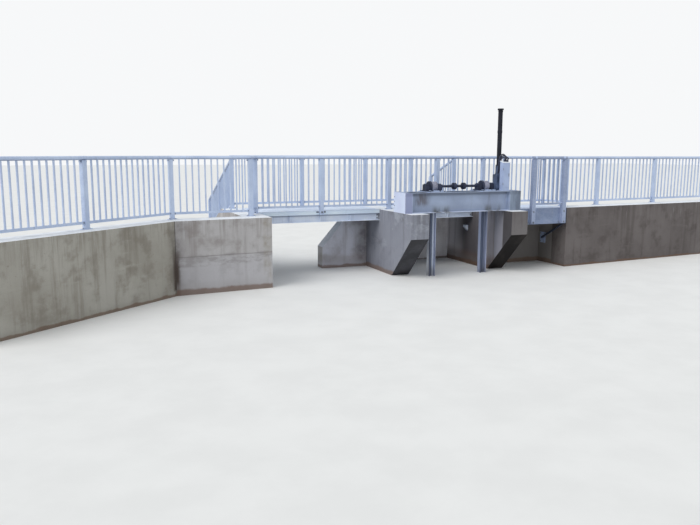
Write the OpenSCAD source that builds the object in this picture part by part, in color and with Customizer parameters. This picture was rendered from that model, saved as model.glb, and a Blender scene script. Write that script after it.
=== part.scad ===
// Small gate dam: concrete piers, abutments and wing walls, a gate bay with a line shaft
// hoist over two steel stems, an overflow bay beside it, and a footbridge with picket railings.
// X runs along the dam, Y runs upstream, Z is up. Z = 0 is the level that the walls stand on.

/* [Levels] */
// Height of the piers and walls
wall_top = 1270; // [1100:10:1600]
// Height of the centre of the top rail above the wall tops
rail_h = 1050; // [900:10:1200]

/* [Piers] */
// Thickness of each pier
pier_t = 375; // [300:5:500]
// Length of the pier's base along the flow
pier_base_l = 1825; // [1600:5:2600]
// How far the corbel reaches downstream of the base
corbel_reach = 825; // [500:5:1100]
// Height of the corbel's vertical end face
corbel_face_h = 465; // [300:5:700]
// Clear width of the gate bay
gate_bay_w = 1850; // [1500:10:2400]
// Clear width of the overflow bay
left_bay_w = 2550; // [2000:10:3200]

/* [Walls] */
// Thickness of the abutment and wing walls
wall_t = 450; // [350:5:600]
// Setback of the left headwall's corner from the corbel ends
left_setback = 445; // [300:5:700]
// Length of the left headwall from its corner to its bend
headwall_l = 1725; // [1400:5:2200]
// Turn of the left headwall from the dam axis, in degrees
headwall_turn = 5; // [1:0.5:12]
// Turn of the left wing wall from the dam axis, in degrees
wing_turn = 39.5; // [30:0.5:50]
// Number of whole railing bays on the wing wall
wing_bays = 2; // [1:1:4]
// Length of the sloping upstream wall at the left
left_tail_l = 2400; // [1500:10:3000]
// Length of the sloping upstream wall at the right
right_tail_l = 1100; // [800:10:3000]
// Fall of the upstream walls, run for one unit of drop
tail_run = 2.5; // [2:0.1:4]
// Distance of the recess's back wall behind the corbel ends
recess_s = 1400; // [1200:10:1600]
// Width of the recess between the right pier and the right headwall's corner
recess_w = 1350; // [1100:10:1600]
// Setback of the right headwall's corner from the corbel ends
right_setback = 480; // [300:5:700]
// Turn of the right headwall from the dam axis, in degrees
right_turn = 5; // [1:0.5:12]
// Length of the right headwall
right_wall_l = 4950; // [4200:10:6000]

/* [Sill walls] */
// Distance of the cutoff wall's face from the upstream end of the pier
cutoff_in = 550; // [400:10:700]
// Thickness of the cutoff wall
cutoff_t = 300; // [200:5:320]
// Length of the cutoff wall left of the centre pier
cutoff_l = 1000; // [800:10:1200]
// Height of the cutoff wall's free end
cutoff_end_h = 450; // [300:10:700]
// Length over which the cutoff wall's top slopes
cutoff_slope_l = 660; // [400:10:800]
// Thickness of the breast wall at the upstream end of the gate bay
breast_t = 150; // [100:10:250]

/* [Footbridge] */
// Distance of the deck's front edge behind the corbel ends
deck_s = 1430; // [1200:10:1600]
// Thickness of the deck plates
deck_t = 70; // [40:5:100]
// Depth of the deck girders
girder_d = 150; // [100:5:250]
// Flange width of the girders
girder_flange = 75; // [50:5:100]
// Steel thickness of the girders
girder_t = 9; // [6:1:12]

/* [Railings] */
// Outer size of the square posts
post_w = 76; // [60:1:120]
// Outer size of the slim post where the railing turns at the recess
corner_post_w = 42; // [30:1:76]
// Diameter of the top rail
rail_d = 60; // [40:1:76]
// How deep the top rail sits in the tops of the posts
rail_seat = 12; // [6:1:20]
// Size of the square pickets
picket_w = 22; // [12:1:30]
// Spacing of the pickets
picket_pitch = 114; // [90:1:130]
// Height of the bottom rail's underside above the surface
foot_gap = 80; // [40:5:120]
// Height of the bottom rail
foot_rail_h = 40; // [25:1:60]
// Spacing of the posts on the long walls
post_pitch = 1829; // [1500:1:2000]
// Distance of the railing behind the faces of the walls
rail_back = 400; // [150:5:400]
// Distance of the left railing's bend from the wall's own bend, towards the corner
bend_in = 180; // [0:5:300]
// Distance of the end posts from the corners of the side walls
corner_in = 50; // [46:1:120]
// Distance of the left headwall's end post from its corner
left_post_in = 250; // [200:5:400]
// Distance of the right headwall's first post from its corner
right_post_in = 220; // [150:5:400]
// Length of the short first bay on the right headwall
right_first_l = 1040; // [800:10:1829]

/* [Side platform] */
// Distance of the platform's fascia behind the corbel ends
platform_s = 500; // [485:5:600]
// Depth of the fascia
fascia_d = 330; // [250:5:380]
// Distance of the platform's first post from the right pier
platform_post_in = 445; // [400:1:600]
// Outer size of the platform's square posts
platform_post_w = 89; // [60:1:120]
// Spacing of the platform's posts
platform_post_gap = 776; // [600:1:780]
// How far the platform's posts run down the fascia
platform_post_drop = 310; // [200:5:330]
// Width of the knee brace
brace_w = 40; // [30:1:80]
// Depth of the knee brace
brace_d = 40; // [30:1:80]
// Size of the knee brace's wall plate
brace_plate = 180; // [120:5:220]
// Thickness of the knee brace's wall plate
brace_plate_t = 12; // [8:1:20]
// Size of the bracket on the right pier
bracket_w = 80; // [50:1:120]
// Distance of that bracket behind the corbel ends
bracket_s = 1700; // [1500:10:1900]
// Level of the bracket's underside
bracket_z = 730; // [600:10:900]

/* [Hoist frame] */
// Depth of the hoist beams
beam_d = 390; // [300:5:450]
// Width of the hoist beams' flanges
beam_flange = 100; // [80:5:140]
// Steel thickness of the hoist frame
beam_t = 12; // [8:1:16]
// Distance of the hoist frame behind the corbel ends
frame_s = 265; // [200:5:330]
// Width of the hoist frame along the flow
frame_w = 500; // [440:5:560]
// Width of the frame's left end box
left_end_w = 150; // [100:5:200]
// Width of the frame's right end box
right_end_w = 250; // [180:5:300]

/* [Hoist] */
// Distance of each stem from the piers' faces
stem_in = 335; // [300:5:425]
// Width of each stem
stem_w = 126; // [100:2:180]
// Steel thickness of the stems
stem_t = 10; // [6:1:14]
// Diameter of the line shaft
shaft_d = 50; // [36:1:64]
// Radial clearance of the line shaft in its bearings
shaft_fit = 0.08; // [0.02:0.01:0.1]
// Height of the shaft above the hoist beams
shaft_h = 106; // [100:1:140]
// Diameter of the shaft couplings
coupling_d = 130; // [110:1:160]
// Thickness of each shaft coupling
coupling_t = 60; // [30:1:80]
// Spacing of the two couplings
coupling_gap = 210; // [150:5:300]
// Length of each gear unit along the shaft
unit_l = 360; // [300:5:380]
// Distance of the disc from the near end of its gear unit
disc_in = 90; // [60:5:120]
// Thickness of the gear units' base plates
unit_base_t = 14; // [8:1:20]
// Diameter of the gear units' discs
disc_d = 208; // [180:1:211]
// Thickness of the gear units' discs
disc_t = 40; // [20:1:60]
// Diameter of the gear units' drums
drum_d = 184; // [150:1:200]
// Length of the gear units' drums
drum_l = 120; // [80:1:150]
// Height of the gear units' bearing blocks
block_h = 145; // [135:1:180]
// Width of the gear units' bearing blocks along the flow
block_w = 150; // [100:5:200]
// Length of the drive unit along the shaft
drive_l = 260; // [220:5:280]
// Width of the drive unit's lower housing along the flow
drive_w = 230; // [180:5:240]
// Width of the drive unit's middle housing
drive_mid_w = 156; // [100:2:180]
// Distance of the tall pipe's axis from the drive unit's near end
pipe_in = 145; // [90:5:160]
// Height of the drive unit's lower housing
drive_base_h = 160; // [120:5:200]
// Height of the drive unit's middle housing
drive_mid_h = 330; // [250:5:400]
// Height of the drive unit
drive_h = 500; // [430:10:560]
// Width of the control post
control_w = 160; // [120:5:165]
// Depth of the control post along the flow
control_d = 112; // [80:2:115]
// Distance of the control post from the drive unit's near end
control_in = 92; // [60:2:95]
// Distance of the control post from the frame's front
control_back = 10; // [5:1:12]
// Height of the control post at its lower edge
control_h = 545; // [450:5:700]
// Rise of the control post's sloping cap
control_cap = 30; // [0:5:60]
// Height of the top of the tall pipe above the wall tops
pipe_top = 2020; // [1700:10:2400]
// Diameter of the tall pipe
pipe_d = 90; // [70:1:95]
// Diameter of the tall pipe's cap
pipe_cap_d = 120; // [92:1:140]
// Thickness of the tall pipe's cap
pipe_cap_t = 30; // [10:1:50]

/* [Hidden] */
$fn = 48;

concrete = "#a9a598";
galvanised = "#aab4c0";
hoist_paint = "#8e959c";
machinery = "#23262e";

// Gap between pieces that stand face to face at an angle
seat = 0.3;
// Places along X
cp_l = -pier_t / 2;
cp_r = pier_t / 2;
rp_l = cp_r + gate_bay_w;
rp_r = rp_l + pier_t;
rp_mid = (rp_l + rp_r) / 2;
ab_x = cp_l - left_bay_w;
rec_x = rp_r + recess_w;
left_mid = (ab_x + cp_l) / 2;
bay_mid = cp_r + gate_bay_w / 2;
left_x = cp_r + stem_in;
right_x = rp_l - stem_in;
// Places along Y
base_y = -pier_base_l / 2;
back_y = pier_base_l / 2;
end_y = base_y - corbel_reach;
deck_y = end_y + deck_s;
deck_back = back_y;
deck_w = deck_back - deck_y;
front_rail_y = deck_y - post_w / 2;
rear_rail_y = deck_back - post_w / 2;
recess_y = end_y + recess_s;
// Levels
deck_under = wall_top - deck_t;
girder_under = deck_under - girder_d;
beam_top = wall_top + beam_d;

// Unit vectors along a wall that turns by a, and square to it towards upstream
function left_dir(a) = [-cos(a), -sin(a)];
function left_up(a) = [-sin(a), cos(a)];
function right_dir(a) = [cos(a), sin(a)];
function right_up(a) = [-sin(a), cos(a)];

n1 = left_up(headwall_turn);
n2 = left_up(wing_turn);
mitre = (n1 + n2) / (1 + n1 * n2);
wing_l = wing_bays * post_pitch + 2 * post_w;
left_corner = [ab_x, end_y + left_setback];
bend = left_corner + headwall_l * left_dir(headwall_turn);
wing_end = bend + wing_l * left_dir(wing_turn);
bend_back = bend + wall_t * mitre;
right_corner = [rec_x, end_y + right_setback];
right_end = right_corner + right_wall_l * right_dir(right_turn);

// Concrete
module wall(points) {
    color(concrete) linear_extrude(height = wall_top) polygon(points);
}

module left_headwall() {
    wall([left_corner, left_corner + [0, wall_t / cos(headwall_turn)], bend_back, bend]);
}

module left_wing_wall() {
    wall([bend, bend_back, wing_end + wall_t * n2, wing_end]);
}

module left_side_wall() {
    y_in = left_corner[1] + wall_t / cos(headwall_turn) + seat;
    y_out = y_in - wall_t * tan(headwall_turn);
    wall([[ab_x - wall_t, y_out], [ab_x, y_in], [ab_x, back_y], [ab_x - wall_t, back_y]]);
}

// A wall that runs upstream with a falling top
module tail_wall(x, t, l) {
    color(concrete) translate([x, back_y, 0]) rotate([90, 0, 90]) linear_extrude(height = t)
        polygon([[0, 0], [l, 0], [l, wall_top - l / tail_run], [0, wall_top]]);
}

module left_tail_wall() {
    tail_wall(ab_x - wall_t, wall_t, left_tail_l);
}

module right_tail_wall() {
    tail_wall(rp_l, pier_t, right_tail_l);
}

// A pier with its corbel: a vertical end face over an underside that slopes back to the base
module pier(x) {
    color(concrete) translate([x, 0, 0]) rotate([90, 0, 90]) linear_extrude(height = pier_t)
        polygon([
            [base_y, 0], [back_y, 0], [back_y, wall_top],
            [end_y, wall_top], [end_y, wall_top - corbel_face_h]
        ]);
}

module centre_pier() {
    pier(cp_l);
}

module right_pier() {
    pier(rp_l);
}

module cutoff_wall() {
    color(concrete) translate([cp_l - cutoff_l, back_y - cutoff_in + cutoff_t, 0]) rotate([90, 0, 0])
        linear_extrude(height = cutoff_t)
            polygon([
                [0, 0], [cutoff_l, 0], [cutoff_l, deck_under],
                [cutoff_slope_l, deck_under], [0, cutoff_end_h]
            ]);
}

module breast_wall() {
    color(concrete) translate([cp_r, back_y - breast_t, 0])
        cube([gate_bay_w, breast_t, girder_under]);
}

// The recess's back wall and its side wall, which meets the right headwall
module recess_wall() {
    y_in = right_corner[1] + wall_t / cos(right_turn) + seat;
    y_out = y_in + wall_t * tan(right_turn);
    wall([
        [rp_r, recess_y], [rec_x, recess_y], [rec_x, y_in], [rec_x + wall_t, y_out],
        [rec_x + wall_t, recess_y + wall_t], [rp_r, recess_y + wall_t]
    ]);
}

module right_headwall() {
    wall([
        right_corner, right_end, right_end + wall_t * right_up(right_turn),
        right_corner + [0, wall_t / cos(right_turn)]
    ]);
}

// Footbridge
module channel(l, d, w, t) {
    difference() {
        cube([l, w, d]);
        translate([-1, t, t]) cube([l + 2, w, d - 2 * t]);
    }
}

// Two channels that face away from each other
module girder_pair(x, l) {
    color(galvanised) {
        translate([x, deck_y + girder_flange, girder_under]) mirror([0, 1, 0])
            channel(l, girder_d, girder_flange, girder_t);
        translate([x, deck_back - girder_flange, girder_under])
            channel(l, girder_d, girder_flange, girder_t);
    }
}

module left_bay_girders() {
    girder_pair(ab_x, left_bay_w);
}

module gate_bay_girders() {
    girder_pair(cp_r, gate_bay_w);
}

module deck(x, l) {
    color(galvanised) translate([x, deck_y, deck_under]) cube([l, deck_w, deck_t]);
}

module left_bay_deck() {
    deck(ab_x, left_bay_w);
}

module gate_bay_deck() {
    deck(cp_r, gate_bay_w);
}

// Side platform
platform_y = end_y + platform_s;

module platform_fascia() {
    color(galvanised) translate([rp_r, platform_y, wall_top - fascia_d])
        channel(recess_w, fascia_d, girder_flange, girder_t);
}

module platform_deck() {
    y = platform_y + girder_flange;
    color(galvanised) translate([rp_r, y, deck_under]) cube([recess_w, recess_y - y, deck_t]);
}

// A bar that runs down and upstream from the fascia to a plate on the recess's side wall
module knee_brace() {
    top = wall_top - fascia_d;
    run = recess_s - platform_s - girder_flange - brace_plate;
    x = rec_x - brace_plate_t - brace_w;
    y = platform_y + girder_t;
    plate_y = y + run;
    plate_z = top - run / 2 - brace_plate;
    color(galvanised) {
        translate([x, y, 0]) rotate([90, 0, 90]) linear_extrude(height = brace_w)
            polygon([
                [0, top], [brace_d, top], [run + brace_plate / 2, plate_z + brace_plate / 2 + brace_d],
                [run + brace_plate / 2, plate_z + brace_plate / 2]
            ]);
        translate([rec_x - brace_plate_t, plate_y, plate_z])
            cube([brace_plate_t, brace_plate, brace_plate * 1.3]);
    }
}

module wall_bracket() {
    color(galvanised) translate([rp_l - bracket_w, end_y + bracket_s, bracket_z]) rotate([90, 0, 0])
        linear_extrude(height = bracket_w)
            polygon([[bracket_w, 0], [bracket_w, 1.5 * bracket_w], [0, 1.5 * bracket_w], [0, bracket_w]]);
}

// Railings
post_top = rail_h - rail_d / 2;

// Distance from the centre of a post of width w to where a bottom rail at angle a to it can start
function clear(a, w) = let (b = min(abs(a), abs(90 - abs(a))))
    w / 2 / cos(b) + picket_w / 2 * tan(b) + seat;

// A post of width w at x whose saddle for the top rail stays between x_a and x_b
module post(x, w, drop, x_a, x_b) {
    a = max(x - w / 2, x_a);
    b = min(x + w / 2, x_b);
    translate([x - w / 2, -w / 2, -drop]) cube([w, w, post_top + drop]);
    translate([a, -picket_w / 2, post_top - 1]) cube([b - a, picket_w, rail_seat + 1]);
}

// A top rail of length l whose ends are mitred for a left turn of turn_a and turn_b
module top_rail(l, turn_a, turn_b, ext_a, ext_b) {
    a = rail_d * tan(turn_a / 2);
    b = rail_d * tan(turn_b / 2);
    gap_a = turn_a == 0 ? -ext_a : seat / 2;
    gap_b = turn_b == 0 ? -ext_b : seat / 2;
    intersection() {
        translate([-rail_d - post_w, 0, rail_h]) rotate([0, 90, 0])
            cylinder(h = l + 2 * rail_d + 2 * post_w, d = rail_d);
        translate([0, 0, rail_h - rail_d]) linear_extrude(height = 2 * rail_d)
            polygon([
                [gap_a - a, -rail_d], [l - gap_b + b, -rail_d],
                [l - gap_b - b, rail_d], [gap_a + a, rail_d]
            ]);
    }
}

// Bottom rail and pickets between two posts' faces
module infill(x_a, x_b) {
    n = max(1, round((x_b - x_a) / picket_pitch));
    step = (x_b - x_a) / n;
    translate([x_a, -picket_w / 2, foot_gap]) cube([x_b - x_a, picket_w, foot_rail_h]);
    for (i = [1 : n - 1])
        translate([x_a + i * step - picket_w / 2, -picket_w / 2, foot_gap])
            cube([picket_w, picket_w, rail_h - foot_gap]);
}

// A run of railing from point a to point b at height z. at lists the posts along it, w their
// widths, own which of them belong to this run, and drop how far each runs down below the
// surface. A top rail that runs straight on starts where the neighbour's ends, behind the post.
module rail_run(a, b, at, w, own, drop, turn_a = 0, turn_b = 0, z = wall_top) {
    l = norm(b - a);
    last = len(at) - 1;
    x_a = own[0] && turn_a == 0 ? -post_w : picket_w / 2;
    x_b = own[last] && turn_b == 0 ? l + post_w : l - picket_w / 2;
    color(galvanised) translate([a[0], a[1], z]) rotate([0, 0, atan2(b[1] - a[1], b[0] - a[0])]) {
        for (i = [0 : last])
            if (own[i]) post(at[i], w[i], drop[i], x_a, x_b);
        top_rail(l, turn_a, turn_b,
            own[0] ? w[0] / 2 : -w[0] / 2 - seat, own[last] ? w[last] / 2 : -w[last] / 2 - seat);
        for (i = [0 : last - 1])
            infill(
                at[i] + (i == 0 && !own[0] ? clear(turn_a, w[0]) : w[i] / 2),
                at[i + 1] - (i == last - 1 && !own[last] ? clear(turn_b, w[last]) : w[i + 1] / 2)
            );
    }
}

// Points of the railings
left_first = [ab_x - corner_in, front_rail_y];
left_post = left_corner + left_post_in * left_dir(headwall_turn) + rail_back * n1;
bend_post = bend + rail_back * mitre - bend_in * left_dir(headwall_turn);
wing_post = bend_post + post_pitch * left_dir(wing_turn);
wing_last = bend_post + wing_bays * post_pitch * left_dir(wing_turn);
recess_post = [rec_x + corner_in, front_rail_y];
right_post = right_corner + right_post_in * right_dir(right_turn) + rail_back * right_up(right_turn);
right_second = right_post + right_first_l * right_dir(right_turn);
right_third = right_second + post_pitch * right_dir(right_turn);
right_last = right_third + post_pitch * right_dir(right_turn);
left_corner_l = norm(left_post - left_first);
headwall_rail_l = norm(bend_post - left_post);
right_corner_l = norm(right_post - recess_post);
left_corner_turn = atan2(left_first[1] - left_post[1], left_first[0] - left_post[0]);
right_corner_turn = atan2(right_post[1] - recess_post[1], right_post[0] - recess_post[0]);
bend_turn = wing_turn - headwall_turn;

module wing_rail_near() {
    rail_run(bend_post, wing_post, [0, post_pitch], [post_w, post_w], [false, true], [0, 0],
        bend_turn, 0);
}

module wing_rail_far() {
    l = norm(wing_last - wing_post);
    rail_run(wing_post, wing_last, [0, l], [post_w, post_w], [false, true], [0, 0]);
}

module headwall_rail() {
    rail_run(left_post, bend_post, [0, headwall_rail_l], [post_w, post_w], [true, true], [0, 0],
        headwall_turn - left_corner_turn, bend_turn);
}

module left_corner_rail() {
    rail_run(left_first, left_post, [0, left_corner_l], [post_w, post_w], [false, false], [0, 0],
        left_corner_turn, headwall_turn - left_corner_turn);
}

module front_rail_left_bay() {
    rail_run(left_first, [0, front_rail_y], [0, left_mid - left_first[0], -left_first[0]],
        [post_w, post_w, post_w], [true, true, true], [0, deck_t, 0], -left_corner_turn, 0);
}

module front_rail_gate_bay() {
    rail_run([0, front_rail_y], recess_post, [0, bay_mid, rp_mid, recess_post[0]],
        [post_w, post_w, post_w, corner_post_w], [false, true, true, true], [0, deck_t, 0, 0],
        0, right_corner_turn);
}

module rear_rail_left_bay() {
    x = ab_x - wall_t / 2;
    rail_run([x, rear_rail_y], [0, rear_rail_y], [0, left_mid - x, -x],
        [post_w, post_w, post_w], [true, true, true], [0, 0, 0]);
}

module rear_rail_gate_bay() {
    rail_run([0, rear_rail_y], [rp_mid, rear_rail_y], [0, bay_mid, rp_mid],
        [post_w, post_w, post_w], [false, true, true], [0, 0, 0]);
}

module platform_rail() {
    x = rp_r + platform_post_in;
    y = platform_y - platform_post_w / 2;
    rail_run([x, y], [x + platform_post_gap, y], [0, platform_post_gap],
        [platform_post_w, platform_post_w], [true, true], [platform_post_drop, platform_post_drop]);
}

module right_corner_rail() {
    rail_run(recess_post, right_post, [0, right_corner_l], [corner_post_w, post_w], [false, false], [0, 0],
        right_corner_turn, right_turn - right_corner_turn);
}

module right_rail_near() {
    rail_run(right_post, right_second, [0, right_first_l], [post_w, post_w], [true, true], [0, 0],
        right_turn - right_corner_turn, 0);
}

module right_rail_mid() {
    rail_run(right_second, right_third, [0, post_pitch], [post_w, post_w], [false, true], [0, 0]);
}

module right_rail_far() {
    rail_run(right_third, right_last, [0, post_pitch], [post_w, post_w], [false, true], [0, 0]);
}

// A guard that follows the falling top of an upstream wall, from the rear railing's end post
module guard_rail(x, l, posts) {
    fall = 1 / tail_run;
    rail_z = rail_h - rail_d;
    n = round(l / picket_pitch);
    step = l / n;
    drop = l * fall;
    translate([x, back_y, wall_top]) color(galvanised) {
        for (y = posts)
            translate([-post_w / 2, y - post_w / 2, -(y - post_w / 2) * fall]) rotate([90, 0, 90])
                linear_extrude(height = post_w)
                    polygon([
                        [0, 0], [post_w, -post_w * fall],
                        [post_w, rail_z - rail_seat - post_w * fall], [0, rail_z - rail_seat]
                    ]);
        intersection() {
            translate([0, 0, rail_z]) rotate([-90 - atan(fall), 0, 0]) translate([0, 0, -rail_d])
                cylinder(h = 2 * l, d = rail_d);
            translate([-rail_d, 0, rail_z - drop - rail_d]) cube([2 * rail_d, l, drop + 2 * rail_d]);
        }
        translate([-picket_w / 2, 0, 0]) rotate([90, 0, 90]) linear_extrude(height = picket_w)
            polygon([
                [0, foot_gap], [l, foot_gap - drop],
                [l, foot_gap + foot_rail_h - drop], [0, foot_gap + foot_rail_h]
            ]);
        for (i = [1 : n - 1])
            translate([-picket_w / 2, i * step - picket_w / 2, foot_gap + foot_rail_h / 2 - i * step * fall])
                cube([picket_w, picket_w, rail_z - foot_gap - foot_rail_h]);
    }
}

module left_guard_rail() {
    guard_rail(ab_x - wall_t / 2, left_tail_l, [left_tail_l / 2, left_tail_l - post_w / 2]);
}

module right_guard_rail() {
    guard_rail(rp_mid, right_tail_l, [right_tail_l - post_w / 2]);
}

// Hoist frame
frame_y = end_y + frame_s;
beam_x = cp_l + left_end_w;
beam_l = rp_r - cp_l - left_end_w - right_end_w;

// A channel with a plate across each end
module hoist_beam() {
    color(hoist_paint) {
        channel(beam_l, beam_d, beam_flange, beam_t);
        for (x = [0, beam_l - beam_t])
            translate([x, 0, 0]) cube([beam_t, beam_flange, beam_d]);
    }
}

module hoist_front_beam() {
    translate([beam_x, frame_y + beam_flange, wall_top]) mirror([0, 1, 0]) hoist_beam();
}

module hoist_rear_beam() {
    translate([beam_x, frame_y + frame_w - beam_flange, wall_top]) hoist_beam();
}

// A box open towards the bay
module end_box(w) {
    difference() {
        cube([w, frame_w, beam_d]);
        translate([beam_t, beam_t, beam_t]) cube([w, frame_w - 2 * beam_t, beam_d - 2 * beam_t]);
    }
}

module hoist_end_boxes() {
    color(hoist_paint) {
        translate([cp_l, frame_y, wall_top]) end_box(left_end_w);
        translate([rp_r, frame_y, wall_top]) mirror([1, 0, 0]) end_box(right_end_w);
    }
}

// Stems and machinery
shaft_y = frame_y + frame_w / 2;
shaft_z = beam_top + shaft_h;
bore_d = shaft_d + 2 * shaft_fit;

module stem(x) {
    color(galvanised) translate([x - stem_w / 2, shaft_y - stem_w / 2, 0]) {
        cube([stem_t, stem_w, beam_top]);
        translate([stem_w - stem_t, 0, 0]) cube([stem_t, stem_w, beam_top]);
        translate([stem_t, (stem_w - stem_t) / 2, 0]) cube([stem_w - 2 * stem_t, stem_t, beam_top]);
    }
}

module left_stem() {
    stem(left_x);
}

module right_stem() {
    stem(right_x);
}

module along_shaft(x, l, d) {
    translate([x, shaft_y, shaft_z]) rotate([0, 90, 0]) cylinder(h = l, d = d);
}

module block(x, l, w, h) {
    translate([x, shaft_y - w / 2, beam_top]) cube([l, w, h]);
}

module gear_unit(x) {
    x_a = x - unit_l / 2;
    disc_x = x_a + disc_in;
    drum_x = disc_x + disc_t;
    block_x = drum_x + drum_l;
    color(machinery) difference() {
        union() {
            block(x_a, unit_l, frame_w, unit_base_t);
            block(x_a, disc_x - x_a, block_w, block_h);
            along_shaft(disc_x, disc_t, disc_d);
            along_shaft(drum_x, drum_l, drum_d);
            block(disc_x, drum_l + disc_t, block_w / 2, shaft_h);
            block(block_x, x_a + unit_l - block_x, block_w, block_h);
        }
        along_shaft(x_a - 1, unit_l + 2, bore_d);
    }
}

module left_gear_unit() {
    gear_unit(left_x);
}

module right_gear_unit() {
    gear_unit(right_x);
}

module line_shaft() {
    color(machinery) {
        along_shaft(left_x - unit_l / 2, right_x - left_x + unit_l, shaft_d);
        for (side = [-1, 1])
            along_shaft(bay_mid + side * coupling_gap / 2 - coupling_t / 2, coupling_t, coupling_d);
    }
}

drive_x = right_x + unit_l / 2;
pipe_x = drive_x + pipe_in;

module drive_unit() {
    color(machinery) {
        block(drive_x, drive_l, frame_w, unit_base_t);
        block(drive_x, drive_l, drive_w, drive_base_h);
        block(pipe_x - drive_mid_w / 2, drive_mid_w, drive_mid_w, drive_mid_h);
        block(pipe_x - pipe_d / 2, pipe_d, pipe_d, drive_h);
    }
}

// Stands in front of the drive unit, on its base plate
module control_post() {
    color(galvanised) translate([drive_x + control_in, frame_y + control_back, beam_top + unit_base_t])
        rotate([90, 0, 90]) linear_extrude(height = control_w)
            polygon([
                [0, 0], [control_d, 0], [control_d, control_h + control_cap], [0, control_h]
            ]);
}

module tall_pipe() {
    z = beam_top + drive_h;
    h = wall_top + pipe_top - z;
    color(machinery) translate([pipe_x, shaft_y, z]) {
        cylinder(h = h, d = pipe_d);
        translate([0, 0, h - pipe_cap_t]) cylinder(h = pipe_cap_t, d = pipe_cap_d);
    }
}

left_headwall();
left_wing_wall();
left_side_wall();
left_tail_wall();
centre_pier();
cutoff_wall();
breast_wall();
right_pier();
right_tail_wall();
recess_wall();
right_headwall();
left_bay_girders();
gate_bay_girders();
left_bay_deck();
gate_bay_deck();
platform_fascia();
platform_deck();
knee_brace();
wall_bracket();
wing_rail_near();
wing_rail_far();
headwall_rail();
left_corner_rail();
front_rail_left_bay();
front_rail_gate_bay();
rear_rail_left_bay();
rear_rail_gate_bay();
platform_rail();
right_corner_rail();
right_rail_near();
right_rail_mid();
right_rail_far();
left_guard_rail();
right_guard_rail();
hoist_front_beam();
hoist_rear_beam();
hoist_end_boxes();
left_stem();
right_stem();
left_gear_unit();
right_gear_unit();
line_shaft();
drive_unit();
control_post();
tall_pipe();
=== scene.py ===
import math
from collections import namedtuple

import bmesh
import bpy
from mathutils import Matrix, Vector


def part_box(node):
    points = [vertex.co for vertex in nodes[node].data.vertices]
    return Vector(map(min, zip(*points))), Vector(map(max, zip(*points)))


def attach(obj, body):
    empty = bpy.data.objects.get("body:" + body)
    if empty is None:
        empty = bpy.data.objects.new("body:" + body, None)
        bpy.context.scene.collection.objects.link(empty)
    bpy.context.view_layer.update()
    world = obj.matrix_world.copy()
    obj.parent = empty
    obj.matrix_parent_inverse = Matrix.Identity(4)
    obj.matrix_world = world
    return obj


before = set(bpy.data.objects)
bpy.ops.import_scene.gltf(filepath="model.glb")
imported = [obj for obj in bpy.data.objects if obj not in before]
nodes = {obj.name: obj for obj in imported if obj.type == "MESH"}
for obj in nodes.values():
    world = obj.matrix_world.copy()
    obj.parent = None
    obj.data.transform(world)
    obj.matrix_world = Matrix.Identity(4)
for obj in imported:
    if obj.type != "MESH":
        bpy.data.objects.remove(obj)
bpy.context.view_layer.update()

scene = bpy.context.scene

STRUCTURE = "structure"
SHAFT = "line_shaft"

# Places taken from the frame, in metres
deck_lo, deck_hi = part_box("left_bay_deck")
pier_lo, pier_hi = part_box("right_pier")
fascia_lo, fascia_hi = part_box("platform_fascia")
beam_lo, beam_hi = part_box("hoist_front_beam")
boxes_lo, boxes_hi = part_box("hoist_end_boxes")
shaft_lo, shaft_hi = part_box("line_shaft")
drive_lo, drive_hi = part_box("drive_unit")
post_lo, post_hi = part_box("control_post")
pipe_lo, pipe_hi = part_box("tall_pipe")
UNITS = {side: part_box(side + "_gear_unit") for side in ("left", "right")}
END_Y = pier_lo.y
WALL_TOP = deck_hi.z
BEAM_TOP = beam_hi.z
SHAFT_Y = (shaft_lo.y + shaft_hi.y) / 2
SHAFT_Z = (shaft_lo.z + shaft_hi.z) / 2
PIPE_X = (pipe_lo.x + pipe_hi.x) / 2
PIER_MID = (pier_lo.x + pier_hi.x) / 2
LEFT_MID = (deck_lo.x + deck_hi.x) / 2
BAY_MID = (shaft_lo.x + shaft_hi.x) / 2
RECESS_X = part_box("platform_deck")[1].x

# The abutment walls in plan: turns from the dam's axis, the left headwall's length,
# and how far the two corners stand behind the corbel ends
HEADWALL_TURN, WING_TURN, RIGHT_TURN = (math.radians(a) for a in (5.0, 39.5, 5.0))
HEADWALL_L = 1.725
LEFT_SETBACK, RIGHT_SETBACK = 0.445, 0.480


def heading(turn):
    """The plan direction away from the left bay along a wall."""
    return Vector((-math.cos(turn), -math.sin(turn)))


def inward(turn):
    """The plan direction square to a wall, towards upstream."""
    return Vector((-math.sin(turn), math.cos(turn)))


left_corner = Vector((deck_lo.x, END_Y + LEFT_SETBACK))
bend = left_corner + HEADWALL_L * heading(HEADWALL_TURN)
n1, n2 = inward(HEADWALL_TURN), inward(WING_TURN)
mitre = (n1 + n2) / (1 + n1.dot(n2))


def add_object(name, data):
    obj = bpy.data.objects.new(name, data)
    scene.collection.objects.link(obj)
    return obj


def tone(colour):
    """A colour from its red, green and blue on the usual 0 to 255 scale. A socket stays as it is."""
    if hasattr(colour, "is_linked"):
        return colour
    return (*(((v / 255 + 0.055) / 1.055) ** 2.4 for v in colour), 1.0)


def add_node(tree, kind):
    return tree.nodes.new("ShaderNode" + kind)


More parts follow.
